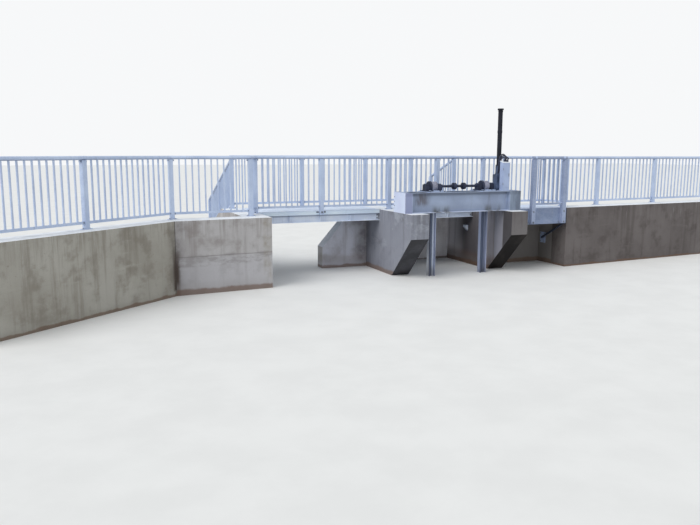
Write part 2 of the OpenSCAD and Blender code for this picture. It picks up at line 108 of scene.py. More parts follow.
class Graph:
    """A material's node graph, with short calls that add nodes to it."""

    def __init__(self, name):
        self.mat = bpy.data.materials.new(name)
        self.mat.use_nodes = True
        self.tree = self.mat.node_tree
        self.shader = self.tree.nodes["Principled BSDF"]
        self.coord = add_node(self.tree, "TexCoord").outputs["Object"]
        self.x, self.y, self.z = self.axes(self.coord)
        self.nx, self.ny, self.nz = self.axes(add_node(self.tree, "NewGeometry").outputs["Normal"])
        # The colour so far, which wash and tint change
        self.base = None

    def put(self, socket, value):
        if hasattr(value, "is_linked"):
            self.tree.links.new(value, socket)
        else:
            socket.default_value = value

    def node(self, kind, out=0, **inputs):
        n = add_node(self.tree, kind)
        for k, v in inputs.items():
            self.put(n.inputs[k.replace("_", " ")], v)
        return n.outputs[out]

    def axes(self, vector):
        n = add_node(self.tree, "SeparateXYZ")
        self.put(n.inputs[0], vector)
        return n.outputs

    def noise(self, scale, detail=4.0, rough=0.55):
        """Noise whose scale is one number, or one for each axis."""
        if isinstance(scale, tuple):
            vector = self.node("Mapping", Vector=self.coord, Scale=scale)
            scale = 1.0
        else:
            vector = self.coord
        return self.node("TexNoise", Vector=vector, Scale=scale, Detail=detail, Roughness=rough)

    def ramp(self, fac, lo, hi, out_lo=0.0, out_hi=1.0):
        """A smooth step from out_lo to out_hi, as fac goes from lo to hi."""
        n = add_node(self.tree, "MapRange")
        n.interpolation_type = "SMOOTHSTEP"
        for i, v in enumerate((fac, lo, hi, out_lo, out_hi)):
            self.put(n.inputs[i], v)
        return n.outputs[0]

    def math(self, op, a, b=0.0):
        n = add_node(self.tree, "Math")
        n.operation = op
        self.put(n.inputs[0], a)
        self.put(n.inputs[1], b)
        return n.outputs[0]

    def times(self, *values):
        out = values[0]
        for v in values[1:]:
            out = self.math("MULTIPLY", out, v)
        return out

    def plus(self, a, b):
        return self.math("ADD", a, b)

    def band(self, value, lo, hi, soft):
        """1 between lo and hi, falling to 0 over soft on either side."""
        return self.times(self.ramp(value, lo - soft, lo), self.ramp(value, hi + soft, hi))

    def uneven(self, patch, amount):
        """The height, moved up and down by the patches."""
        return self.plus(self.z, self.times(self.math("SUBTRACT", patch, 0.5), amount))

    def mix(self, fac, a, b):
        """A mix of two colours, each a socket or its red, green and blue."""
        n = add_node(self.tree, "Mix")
        n.data_type = "RGBA"
        self.put(n.inputs[0], fac)
        self.put(n.inputs[6], tone(a))
        self.put(n.inputs[7], tone(b))
        return n.outputs[2]

    def fade(self, a, b, value, lo, hi, share=1.0):
        """Colour a, turned to b by up to share, as value goes from lo to hi."""
        return self.mix(self.ramp(value, lo, hi, 0.0, share), a, b)

    def wash(self, colour, *steps):
        """Turns the base to a colour as fade does."""
        self.base = self.fade(self.base, colour, *steps)

    def tint(self, colour, *masks):
        """Turns the base to a colour by the product of the masks."""
        self.base = self.mix(self.times(*masks), self.base, colour)

    def bump(self, height, strength, distance):
        normal = self.node("Bump", Height=height, Strength=strength, Distance=distance)
        self.put(self.shader.inputs["Normal"], normal)

    def finish(self, rough, metal=0.0, gloss=0.5):
        self.put(self.shader.inputs["Base Color"], self.base)
        self.put(self.shader.inputs["Roughness"], rough)
        self.shader.inputs["Metallic"].default_value = metal
        self.shader.inputs["Specular IOR Level"].default_value = gloss
        return self.mat


# Painted shade for faces that look down
UNDERSIDE_SHADE = (52, 50, 52)
FOOT_BROWN = (116, 92, 76)
# Painted light for the top faces; the worn tone also colours the lime runs
TOP_LIT_PALE, LIME_AND_LIT_TOP = (244, 247, 251), (224, 228, 233)
# Form panels of the concrete
PANEL_W, PANEL_H, PANEL_LINE = 1.22, 0.61, 0.003


def concrete(name, pale, dark, stain, foot=0.12, zones=None, under_shade=UNDERSIDE_SHADE, gloss=0.5):
    """Board-marked cast concrete, stained up to foot. zones(g, patch) adds a wall's own marks."""
    g = Graph(name)
    cloud = g.noise(0.9, 5.0)
    patch = g.noise(3.1, 6.0, 0.6)
    speck = g.noise(16.0, 5.0, 0.7)
    grain = g.noise(75.0, 3.0, 0.7)
    run = g.noise((6.0, 6.0, 0.45), 5.0, 0.65)
    drip = g.noise((24.0, 24.0, 1.1), 3.0, 0.6)
    scrape = g.noise((1.5, 1.5, 13.0), 4.0, 0.7)
    g.base = g.fade(pale, dark, cloud, 0.36, 0.66)
    g.wash(stain, patch, 0.48, 0.70, 0.60)
    g.wash(stain, run, 0.50, 0.68, 0.50)
    g.wash(dark, drip, 0.56, 0.76, 0.275)
    g.wash(pale, scrape, 0.58, 0.70, 0.45)
    g.wash(stain, speck, 0.60, 0.74, 0.50)
    if zones:
        zones(g, patch)
    # Dark runs and a few lime runs start at the top edge
    near_top = g.ramp(g.z, 0.80, 1.24)
    g.tint(stain, near_top, g.ramp(drip, 0.50, 0.62, 0.0, 0.38))
    g.tint(LIME_AND_LIT_TOP, near_top, g.ramp(drip, 0.34, 0.27, 0.0, 0.45))
    # Damp, red-brown foot with an uneven edge
    level = g.uneven(patch, -0.10)
    g.wash(dark, level, foot * 2.2, foot, 0.35)
    g.wash(FOOT_BROWN, level, foot, foot * 0.6, 0.75)
    # Painted shade under the corbels, painted light on the tops
    g.wash(g.fade(under_shade, stain, patch, 0.4, 0.7, 0.3), g.nz, -0.25, -0.45, 0.97)
    g.wash(g.fade(TOP_LIT_PALE, LIME_AND_LIT_TOP, patch, 0.42, 0.7), g.nz, 0.35, 0.6)
    # Faint lines between the form panels
    along = g.node("CombineXYZ", X=g.plus(g.x, g.y), Y=g.z)
    lines = g.node("TexBrick", 1, Vector=along, Scale=1.0, Mortar_Size=PANEL_LINE,
                   Mortar_Smooth=0.7, Brick_Width=PANEL_W, Row_Height=PANEL_H)
    g.tint(stain, lines, 0.16)
    g.wash(stain, grain, 0.3, 0.7, 0.12)
    height = g.plus(g.times(grain, 0.35), g.plus(g.times(patch, 0.7), g.times(lines, -0.35)))
    g.bump(g.plus(height, g.times(speck, 0.5)), 0.5, 0.006)
    return g.finish(g.ramp(patch, 0.3, 0.7, 0.78, 0.95), gloss=gloss)


POUR_JOINT_Z, POUR_JOINT_HALF = 0.655, 0.004


def headwall_zones(g, patch):
    """Two lifts with a pour joint between them, rust by the left bay, and the joint at the bend."""
    level = g.uneven(patch, -0.035)
    g.wash((190, 190, 197), level, POUR_JOINT_Z + 0.03, POUR_JOINT_Z - 0.06, 0.45)
    below = g.band(g.z, POUR_JOINT_Z - 0.15, POUR_JOINT_Z, 0.05)
    smear = g.noise((3.0, 3.0, 7.0), 5.0, 0.65)
    g.tint((138, 134, 134), below, g.ramp(smear, 0.44, 0.62), 0.6)
    joint = g.band(level, POUR_JOINT_Z - POUR_JOINT_HALF, POUR_JOINT_Z + POUR_JOINT_HALF, 0.010)
    g.tint((124, 120, 120), joint, 0.55)
    by_bay = g.band(g.x, left_corner.x - 0.13, left_corner.x - 0.05, 0.06)
    g.tint((136, 124, 98), by_bay, g.ramp(patch, 0.35, 0.6, 0.0, 0.4))
    bend_joint(g, patch)


def bend_joint(g, patch):
    """The joint between the headwall and the wing wall, open and stained at its foot."""
    across = Vector((mitre.y, -mitre.x)).normalized()
    along = g.plus(g.times(g.x, across.x), g.times(g.y, across.y))
    gap = g.math("ABSOLUTE", g.math("SUBTRACT", along, bend.dot(across)))
    low = g.ramp(g.z, 1.0, 0.45)
    g.tint((92, 88, 86), g.ramp(gap, 0.20, 0.02, 0.0, 0.45), g.ramp(patch, 0.35, 0.6))
    g.tint((70, 58, 52), low, g.ramp(gap, 0.09, 0.02), g.ramp(patch, 0.42, 0.52))
    g.wash((58, 54, 52), gap, 0.009, 0.004, 0.8)


def pier_zones(g, patch):
    """Lime smears on the centre pier's faces, and its upstream end darker in patches."""
    lime = g.noise((2.2, 2.2, 3.4), 6.0, 0.7)
    g.tint((176, 181, 192), g.ramp(lime, 0.52, 0.66, 0.0, 0.55), g.ramp(g.z, 0.35, 0.8))
    upstream_dark = g.ramp(g.y, 0.05, 0.32, 0.0, 0.6)
    g.tint((92, 88, 92), upstream_dark, g.ramp(patch, 0.3, 0.55, 0.5, 1.0))


def cutoff_zones(g, patch):
    """Painted shade, broken by patches, where the wall meets the pier and along its top under the deck;
    painted light on its free end, which faces left.
    """
    # Painted shade by the pier
    shade_by_pier = g.ramp(g.x, -0.56, -0.30, 0.0, 0.72)
    g.tint((96, 90, 92), shade_by_pier, g.ramp(patch, 0.3, 0.6, 0.4, 1.0))
    # Painted shade along the top, under the deck
    high = g.times(g.ramp(g.x, -1.0, -0.5), g.ramp(g.z, 0.80, 1.05, 0.0, 0.6))
    g.tint((104, 98, 100), high, g.ramp(patch, 0.35, 0.6, 0.3, 1.0))
    # Painted light on the face that looks left
    g.wash((206, 204, 200), g.nx, -0.4, -0.8, 0.8)
    g.wash((132, 118, 112), g.uneven(patch, -0.3), 0.34, 0.22, 0.35)


# Along the flow on the gate bay's right wall: the pale strip, and where the painted shadow of the hoist
# beam starts
STRIP_FROM, STRIP_TO, BEAM_SHADOW_Y = -1.42, -1.16, -1.43


def bay_zones(g, patch):
    """The gate bay: painted shade under the deck and painted light in its middle, stained walls, a pale
    strip by the stem, the painted shadow of the hoist beam, and painted shade on faces that look
    downstream.
    """
    inner = g.ramp(g.nx, -0.4, -0.7)
    run = g.noise((9.0, 9.0, 0.5), 4.0, 0.6)
    # Painted shade under the deck, along the flow
    bay_light_and_shade = g.fade((168, 165, 172), (92, 89, 94), g.y, -0.85, -0.40)
    # Painted light in the middle of the bay
    lit_middle = g.times(g.ramp(g.y, -0.05, 0.55), g.ramp(g.y, 1.3, 0.8))
    bay_light_and_shade = g.mix(lit_middle, bay_light_and_shade, (232, 229, 232))
    # The painted light and shade go on the right wall, upstream of the pale strip
    g.tint(bay_light_and_shade, inner, g.ramp(g.y, STRIP_TO, STRIP_TO + 0.1), 0.85)
    g.tint((96, 91, 92), inner, g.ramp(run, 0.45, 0.6), g.ramp(g.y, -1.1, -0.7), 0.3)
    g.tint((150, 151, 163), inner, g.band(g.y, STRIP_FROM, STRIP_TO, 0.03), 0.85)
    # Painted shadow of the hoist beam, downstream of the strip
    g.tint((70, 69, 74), inner, g.ramp(g.y, BEAM_SHADOW_Y, BEAM_SHADOW_Y - 0.03), 0.9)
    # Painted shade on faces that look downstream
    front = g.times(g.ramp(g.ny, -0.5, -0.8), g.ramp(g.x, 1.5, 1.8))
    g.tint((114, 111, 113), front, 0.7)
    g.tint((112, 90, 80), g.ramp(g.z, 0.36, 0.20), inner, 0.45)


def breast_zones(g, patch):
    """Painted light makes the face where the bay opens downstream pale; the upstream face is plain grey."""
    rear = g.fade((158, 156, 158), (134, 131, 133), patch, 0.35, 0.65)
    g.wash(rear, g.ny, 0.3, 0.6, 0.8)


# Along the dam, where the darker part of the recess wall ends
RECESS_DARK_X = 4.0


def recess_zones(g, patch):
    """The recess behind the side platform, darker, and more so lower down."""
    inside = g.times(g.ramp(g.x, RECESS_DARK_X + 0.05, RECESS_DARK_X - 0.05), g.ramp(g.nz, 0.5, 0.2))
    darkening = g.ramp(g.uneven(patch, -0.5), 1.1, 0.2, 0.70, 0.85)
    g.tint((130, 126, 124), inside, darkening)


def galvanised(name, pale, dark, rough=0.46, metal=0.3, dirt=0.25, shade_z=None):
    """Hot-dip zinc: spangle, soft clouds and thin dirty runs, with painted shade on undersides. Above
    shade_z it has painted shade.
    """
    g = Graph(name)
    cell = g.axes(g.node("TexVoronoi", 1, Vector=g.coord, Scale=60.0))[0]
    cloud = g.noise(2.3, 4.0)
    run = g.noise((30.0, 30.0, 2.0), 4.0, 0.6)
    g.base = g.fade(pale, dark, cloud, 0.35, 0.65)
    g.tint((236, 240, 248), cell, 0.14)
    g.wash((150, 153, 162), run, 0.55, 0.75, dirt)
    # Painted shade on the undersides
    g.wash((120, 128, 148), g.nz, -0.2, -0.9, 0.6)
    # Painted shade above shade_z
    if shade_z:
        g.wash((104, 122, 152), g.z, shade_z - 0.012, shade_z, 0.6)
    g.bump(g.plus(g.times(cell, 0.3), run), 0.12, 0.002)
    return g.finish(g.ramp(run, 0.3, 0.7, rough, rough + 0.16), metal)


def stem_steel(stem, lit, glow):
    """Zinc on a stem: painted light on its left side, painted shade on the web with a painted highlight at
    its right edge, painted shade along the left flange's front, dark foot and head.
    """
    lo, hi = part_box(stem)
    mid = (lo.x + hi.x) / 2
    g = Graph(stem + "_steel")
    run = g.noise((22.0, 22.0, 1.6), 4.0, 0.6)
    cloud = g.noise(5.0, 4.0)
    g.base = g.fade((184, 193, 220), (156, 166, 192), run, 0.4, 0.65)
    from_web = g.math("ABSOLUTE", g.math("SUBTRACT", g.y, SHAFT_Y))
    side = g.ramp(g.math("ABSOLUTE", g.nx), 0.4, 0.8)
    inner = g.times(g.ramp(from_web, 0.030, 0.010), g.ramp(side, 1.0, 0.0))
    # Painted highlight on the web, left showing only at its right edge
    g.tint(glow, inner, 0.85)
    # Painted shade on the rest of the web
    web = g.times(inner, g.ramp(g.x, mid + 0.022, mid + 0.008))
    g.tint(g.mix(run, (62, 74, 98), (80, 92, 116)), web, 0.92)
    # Painted light on the left flange's outer face
    g.tint(lit, side, g.ramp(g.x, lo.x + 0.004, lo.x + 0.002), 0.9)
    # Painted shade along the front edge of the left flange's outer face
    front = g.ramp(g.y, SHAFT_Y - 0.020, SHAFT_Y - 0.036)
    g.tint((70, 82, 106), front, g.ramp(g.x, lo.x + 0.014, lo.x + 0.011), 0.9)
    low = g.ramp(g.z, 0.30, 0.02, 0.0, 0.5)
    g.tint((84, 80, 86), low, g.ramp(cloud, 0.3, 0.6, 0.4, 1.0))
    g.wash((60, 64, 78), g.z, 1.30, 1.36, 0.5)
    g.bump(g.plus(run, cloud), 0.15, 0.002)
    return g.finish(g.ramp(run, 0.3, 0.7, 0.45, 0.65), 0.3)


BRACE_PLATE_T = 0.012
BRACE_PLATE_X = RECESS_X - BRACE_PLATE_T


def brace_steel():
    """The knee brace: a bar darkened partly by dirt and partly as painted shade, up to its pale wall plate.
    """
    g = Graph("brace_steel")
    cloud = g.noise(9.0, 4.0)
    # The bar's dark colour is partly dirt and partly painted shade
    bar = g.mix(cloud, (44, 50, 68), (72, 80, 102))
    plate = g.mix(cloud, (190, 205, 236), (162, 178, 208))
    g.base = g.fade(bar, plate, g.x, BRACE_PLATE_X - 0.002, BRACE_PLATE_X - 0.0005)
    g.bump(cloud, 0.15, 0.002)
    return g.finish(g.ramp(cloud, 0.3, 0.7, 0.45, 0.62), 0.25)


PLATE_TOP = BEAM_TOP + 0.0145
HOIST_PALE, HOIST_DARK = (172, 187, 213), (152, 165, 192)


def painted(name, colour, worn, rust, rust_at, rough, streak=0.5, plate=False, gloss=0.5):
    """Old paint, worn and rusting. With plate, the base plate on the beams is hoist grey."""
    g = Graph(name)
    cloud = g.noise(4.0, 5.0)
    fine = g.noise(42.0, 4.0, 0.6)
    run = g.noise((16.0, 16.0, 1.6), 5.0, 0.65)
    g.base = g.fade(colour, worn, cloud, 0.35, 0.65)
    g.wash(worn, run, 0.52, 0.74, streak)
    g.wash(rust, g.times(g.plus(run, fine), 0.5), rust_at, rust_at + 0.07)
    if plate:
        grey = g.mix(cloud, HOIST_PALE, HOIST_DARK)
        g.wash(grey, g.z, PLATE_TOP + 0.0005, PLATE_TOP)
    g.bump(g.plus(fine, g.times(run, 0.6)), 0.18, 0.002)
    return g.finish(g.ramp(fine, 0.3, 0.7, rough, rough + 0.2), gloss=gloss)


# Hold-down bolts along the hoist's beams, with moss and rust round them
BEAM_BOLTS = (0.53, 0.74, 1.71, 1.91)


def hoist_steel():
    """The hoist frame's grey paint, with stains, painted shade and painted light at the heights and places
    of its parts.
    """
    g = Graph("hoist_steel")
    cloud = g.noise(2.0, 5.0)
    fine = g.noise(38.0, 4.0, 0.6)
    run = g.noise((11.0, 11.0, 1.0), 5.0, 0.65)
    wide = g.noise((5.0, 5.0, 1.2), 4.0, 0.6)
    g.base = g.fade(HOIST_PALE, HOIST_DARK, cloud, 0.3, 0.7)
    # Darker towards the bottom
    g.tint((128, 137, 156), g.ramp(g.z, 1.34, 1.50, 0.35, 0.0))
    # Brown runs on the web near the left end box
    front = g.ramp(g.ny, -0.4, -0.7)
    runs_at = g.times(g.band(g.x, 0.10, 0.28, 0.14), front, g.band(g.z, 1.47, 1.60, 0.12))
    tear = g.noise((13.0, 13.0, 2.2), 5.0, 0.6)
    g.tint((88, 80, 82), runs_at, g.ramp(tear, 0.38, 0.62, 0.15, 0.75))
    # Painted shade and dirt under the top flange, a painted highlight on the bottom flange's edge
    g.tint((84, 92, 110), front, g.ramp(g.z, 1.57, 1.62), 0.6)
    g.wash((206, 216, 238), g.z, 1.288, 1.284, 0.7)
    g.wash((112, 112, 120), run, 0.58, 0.78, 0.45)
    # Moss round the hold-down bolts
    low = g.ramp(g.z, 1.43, 1.30)
    for at in BEAM_BOLTS:
        near = g.band(g.x, at - 0.03, at + 0.03, 0.09)
        g.tint((88, 88, 82), low, near, g.ramp(wide, 0.30, 0.55), 0.75)
    # Purple-grey left end, darker mottled right end, painted light on the side that faces left
    left_end = g.ramp(g.x, beam_lo.x + 0.01, beam_lo.x - 0.01)
    g.tint((140, 145, 180), left_end, g.ramp(g.nz, 0.5, 0.2), 0.75)
    right_end = g.ramp(g.x, beam_hi.x - 0.01, beam_hi.x + 0.01)
    mottle = g.fade((124, 137, 155), (90, 100, 117), wide, 0.4, 0.6)
    g.tint(mottle, right_end, g.ramp(g.nz, 0.5, 0.2), 0.8)
    left_face = g.ramp(g.x, boxes_lo.x + 0.02, boxes_lo.x + 0.005)
    lit_side = g.fade((222, 231, 252), (212, 220, 246), cloud, 0.35, 0.65)
    g.tint(lit_side, g.ramp(g.nx, -0.6, -0.85), left_face, 0.95)
    # Shade-dark undersides of the flanges
    g.wash((70, 74, 86), g.nz, -0.2, -0.8, 0.85)
    g.bump(g.plus(fine, run), 0.15, 0.002)
    return g.finish(g.ramp(fine, 0.3, 0.7, 0.48, 0.68), 0.1)


# The girders are shaded above this height, under the deck
GIRDER_SHADE_Z = deck_lo.z - 0.030

MAT = {m.name: m for m in (
    concrete("headwall_concrete", (186, 184, 185), (168, 165, 166), (136, 129, 126),
             zones=headwall_zones),
    concrete("wing_concrete", (180, 177, 169), (162, 158, 149), (128, 121, 110),
             foot=0.06, zones=bend_joint),
    concrete("pier_concrete", (146, 149, 160), (130, 133, 144), (106, 106, 114),
             zones=pier_zones, under_shade=(34, 34, 38)),
    concrete("cutoff_concrete", (206, 208, 219), (190, 192, 202), (150, 146, 150),
             foot=0.08, zones=cutoff_zones),
    concrete("bay_concrete", (140, 136, 134), (120, 116, 116), (92, 86, 84),
             zones=bay_zones, under_shade=(14, 13, 14), gloss=0.15),
    # Near white: painted light on the wall at the back of the bay
    concrete("breast_lit_concrete", (242, 240, 242), (230, 228, 230), (200, 196, 196),
             foot=0.05, zones=breast_zones),
    concrete("recess_concrete", (150, 145, 140), (132, 127, 122), (104, 98, 94), zones=recess_zones),
    concrete("right_wall_concrete", (114, 108, 107), (99, 93, 92), (80, 73, 71), foot=0.05),
    galvanised("galvanised_steel", (193, 208, 234), (177, 193, 222)),
    galvanised("platform_steel", (152, 166, 196), (136, 150, 180)),
    galvanised("fascia_steel", (130, 146, 178), (114, 130, 162), 0.5, 0.2, 0.35),
    galvanised("deck_steel", (228, 243, 255), (216, 233, 252), 0.5, 0.0, 0.08),
    galvanised("plank_steel", (226, 235, 248), (206, 217, 234), 0.5, 0.1),
    galvanised("girder_steel", (238, 245, 255), (222, 232, 249), 0.5, 0.1,
               shade_z=GIRDER_SHADE_Z),
    galvanised("bolt_zinc", (128, 134, 150), (92, 98, 112), 0.4, 0.5, 0.4),
    stem_steel("left_stem", (240, 244, 252), (226, 234, 246)),
    stem_steel("right_stem", (176, 186, 214), (112, 120, 138)),
    brace_steel(),
    hoist_steel(),
    painted("black_machinery", (34, 38, 54), (56, 62, 84), (84, 66, 60),
            0.66, 0.42, plate=True, gloss=0.3),
    painted("drive_black", (54, 67, 90), (84, 100, 130), (96, 82, 78), 0.68, 0.38, plate=True),
    painted("rib_grey", HOIST_PALE, HOIST_DARK, (112, 104, 104), 0.64, 0.5),
    painted("pipe_black", (26, 28, 36), (38, 40, 50), (60, 52, 50), 0.70, 0.55, gloss=0.2),
    painted("drum_grey", (172, 174, 192), (140, 140, 158), (104, 90, 84), 0.64, 0.42),
    painted("control_paint", (172, 188, 220), (160, 175, 208), (132, 130, 136), 0.72, 0.4, 0.3),
    painted("cap_white", (232, 238, 248), (216, 222, 234), (180, 178, 178), 0.76, 0.4, 0.2),
)}
# Rounded edges of the CAD pieces, as width and segments
WALL_EDGE, STEEL_EDGE, CASTING_EDGE, POST_EDGE = (0.016, 1), (0.002, 1), (0.005, 2), (0.008, 2)
# The material of each CAD piece, with its edges
DRESS = (
    ("headwall_concrete", WALL_EDGE, "left_headwall left_side_wall left_tail_wall"),
    ("wing_concrete", WALL_EDGE, "left_wing_wall"),
    ("pier_concrete", WALL_EDGE, "centre_pier"),
    ("cutoff_concrete", WALL_EDGE, "cutoff_wall"),
    ("bay_concrete", WALL_EDGE, "right_pier right_tail_wall"),
    ("breast_lit_concrete", None, "breast_wall"),
    ("recess_concrete", WALL_EDGE, "recess_wall"),
    ("right_wall_concrete", WALL_EDGE, "right_headwall"),
    ("deck_steel", STEEL_EDGE, "left_bay_deck gate_bay_deck platform_deck"),
    ("girder_steel", STEEL_EDGE, "left_bay_girders gate_bay_girders wall_bracket"),
    ("fascia_steel", STEEL_EDGE, "platform_fascia"),
    ("brace_steel", STEEL_EDGE, "knee_brace"),
    ("platform_steel", None, "platform_rail"),
    ("galvanised_steel", None, " ".join(n for n in nodes if "_rail" in n and n != "platform_rail")),
    ("hoist_steel", STEEL_EDGE, "hoist_front_beam hoist_rear_beam hoist_end_boxes"),
    ("left_stem_steel", STEEL_EDGE, "left_stem"),
    ("right_stem_steel", STEEL_EDGE, "right_stem"),
    ("black_machinery", CASTING_EDGE, "left_gear_unit right_gear_unit"),
    ("black_machinery", None, "line_shaft"),
    ("drive_black", CASTING_EDGE, "drive_unit"),
    ("pipe_black", None, "tall_pipe"),
    ("control_paint", POST_EDGE, "control_post"),
)
for mat, edge, names in DRESS:
    for name in names.split():
        slots = nodes[name].data.materials
        slots.clear()
        slots.append(MAT[mat])
        if edge:
            bevel = nodes[name].modifiers.new("edges", "BEVEL")
            bevel.width, bevel.segments = edge
            bevel.limit_method = "ANGLE"
            bevel.angle_limit = math.radians(40)


# Rounded edges of the trim: fine steel, thin plates, plates and castings
FINE, THIN, PLATE, CAST = 0.001, 0.0015, 0.002, 0.003
# Ways that bolts point
UP, FRONT, BACK, LEFT, RIGHT = (0, 0, 1), (0, -1, 0), (0, 1, 0), (-1, 0, 0), (1, 0, 0)


class Piece:
    """One mesh, gathered from primitives."""

    def __init__(self):
        self.bm = bmesh.new()

    def soften(self, verts, width, wanted=lambda edge: True):
        """Rounds the wanted edges of a primitive, in the order they were made in."""
        edges = [e for e in dict.fromkeys(e for v in verts for e in v.link_edges) if wanted(e)]
        bmesh.ops.bevel(self.bm, geom=edges, offset=width, segments=2, affect="EDGES", profile=0.6)

    def box(self, lo, hi, bevel, turn=None):
        """A box between two corners, or of that size about the origin of turn."""
        verts = bmesh.ops.create_cube(self.bm, size=1.0)["verts"]
        size = [abs(hi[i] - lo[i]) for i in range(3)]
        mid = Vector([(hi[i] + lo[i]) / 2 for i in range(3)])
        m = (turn or Matrix.Translation(mid)) @ Matrix.Diagonal((*size, 1.0))
        bmesh.ops.transform(self.bm, matrix=m, verts=verts)
        self.soften(verts, bevel)

    def rod(self, a, b, r, sides, bevel=0.0):
        """A round bar between two points."""
        a, b = Vector(a), Vector(b)
        verts = bmesh.ops.create_cone(self.bm, cap_ends=True, segments=sides, radius1=r, radius2=r,
                                      depth=(b - a).length)["verts"]
        m = Matrix.Translation((a + b) / 2) @ (b - a).to_track_quat("Z", "Y").to_matrix().to_4x4()
        bmesh.ops.transform(self.bm, matrix=m, verts=verts)
        if bevel:
            self.soften(verts, bevel, lambda e: sum(len(f.verts) > 4 for f in e.link_faces) == 1)

    def upright(self, x, y, z0, z1, r, sides, bevel):
        self.rod((x, y, z0), (x, y, z1), r, sides, bevel)

    def ring(self, x0, x1, r, sides=48, bevel=PLATE):
        """A round part on the line shaft's axis."""
        self.rod((x0, SHAFT_Y, SHAFT_Z), (x1, SHAFT_Y, SHAFT_Z), r, sides, bevel)

    def bolt(self, at, axis, r):
        """A washer, a hexagon head and a stub of thread."""
        at, axis = Vector(at), Vector(axis).normalized()
        self.rod(at, at + axis * r * 0.3, r * 1.7, 16)
        self.rod(at + axis * r * 0.3, at + axis * r * 1.3, r, 6)
        self.rod(at + axis * r * 1.3, at + axis * r * 1.8, r * 0.55, 10)

    def tube(self, points, r):
        """A round tube along a path."""
        sides, rings = 14, []
        last = Vector((0.0, 1.0, 0.0))
        for i, p in enumerate(points):
            d = (points[min(i + 1, len(points) - 1)] - points[max(i - 1, 0)]).normalized()
            last = (last - d * last.dot(d)).normalized()
            other = d.cross(last)
            rings.append([
                self.bm.verts.new(p + r * (math.cos(t) * last + math.sin(t) * other))
                for t in (2 * math.pi * k / sides for k in range(sides))
            ])
        for one, two in zip(rings, rings[1:]):
            for k in range(sides):
                self.bm.faces.new((one[k - 1], one[k], two[k], two[k - 1]))
        self.bm.faces.new(rings[0][::-1])
        self.bm.faces.new(rings[-1])

    def done(self, name, mat, slot, body=STRUCTURE, smooth=False):
        """Makes the object, and hangs it on its body and material slot."""
        bmesh.ops.recalc_face_normals(self.bm, faces=self.bm.faces)
        mesh = bpy.data.meshes.new(name)
        self.bm.to_mesh(mesh)
        self.bm.free()
        if smooth:
            mesh.shade_smooth()
            mesh.set_sharp_from_angle(angle=math.radians(35))
        mesh.materials.append(MAT[mat])
        obj = add_object(name, mesh)
        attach(obj, body)


def placed(at, z, along):
    """The place of a small part at a plan point and a height, turned along a railing."""
    return Matrix.Translation((at.x, at.y, z)) @ Matrix.Rotation(math.atan2(along.y, along.x), 4, "Z")


def circle(count, r, first=0.0):
    """The points of a bolt circle, from its first angle in degrees."""
    turns = [math.radians(360 / count * k + first) for k in range(count)]
    return [(r * math.cos(t), r * math.sin(t)) for t in turns]


# Railings: the same points as the solids
Post = namedtuple("Post", "at w")
POST_W, CORNER_POST_W, PLATFORM_POST_W = 0.076, 0.042, 0.089
POST_PITCH = 1.829
RAIL_BACK, BEND_IN, CORNER_IN = 0.400, 0.180, 0.050
LEFT_POST_IN, RIGHT_POST_IN, RIGHT_FIRST_L = 0.250, 0.220, 1.040
PLATFORM_POST_IN, PLATFORM_POST_GAP = 0.445, 0.776
WALL_T = 0.450
RAIL_H, RAIL_R = 1.050, 0.030
PICKET, PICKET_PITCH = 0.022, 0.114
FOOT_RAIL_Z, FOOT_RAIL_H = 0.080, 0.040

front_y, rear_y = deck_lo.y - POST_W / 2, deck_hi.y - POST_W / 2
along_left, along_right = heading(HEADWALL_TURN), -heading(RIGHT_TURN)
right_corner = Vector((RECESS_X, END_Y + RIGHT_SETBACK))
bend_at = bend + RAIL_BACK * mitre - BEND_IN * along_left
right_at = right_corner + RIGHT_POST_IN * along_right + RAIL_BACK * inward(RIGHT_TURN)
second_at = right_at + RIGHT_FIRST_L * along_right
platform_post_y = fascia_lo.y - PLATFORM_POST_W / 2
platform_post_x = [pier_hi.x + PLATFORM_POST_IN + k * PLATFORM_POST_GAP for k in (0, 1)]


def post(at, w=POST_W):
    return Post(Vector(at), w)


bend_post = post(bend_at)
wing_posts = [post(bend_at + k * POST_PITCH * heading(WING_TURN)) for k in (1, 2)]
left_post = post(left_corner + LEFT_POST_IN * along_left + RAIL_BACK * n1)
left_first = post((deck_lo.x - CORNER_IN, front_y))
recess_post = post((RECESS_X + CORNER_IN, front_y), CORNER_POST_W)
right_posts = [post(right_at)] + [post(second_at + k * POST_PITCH * along_right) for k in (0, 1, 2)]
front_posts = [post((x, front_y)) for x in (LEFT_MID, 0.0, BAY_MID, PIER_MID)]
rear_posts = [post((x, rear_y)) for x in (deck_lo.x - WALL_T / 2, LEFT_MID, 0.0, BAY_MID, PIER_MID)]
platform_posts = [post((x, platform_post_y), PLATFORM_POST_W) for x in platform_post_x]
# Posts that hang on the edge of a deck, so they have no feet
HUNG = [front_posts[0], front_posts[2], rear_posts[1], rear_posts[3], *platform_posts]
RUNS = [
    [*reversed(wing_posts), bend_post, left_post, left_first, *front_posts, recess_post, *right_posts],
    rear_posts,
    platform_posts,
]
# Two posts and the direction from the first to the second
BAYS = [(one, two, (two.at - one.at).normalized()) for run in RUNS for one, two in zip(run, run[1:])]


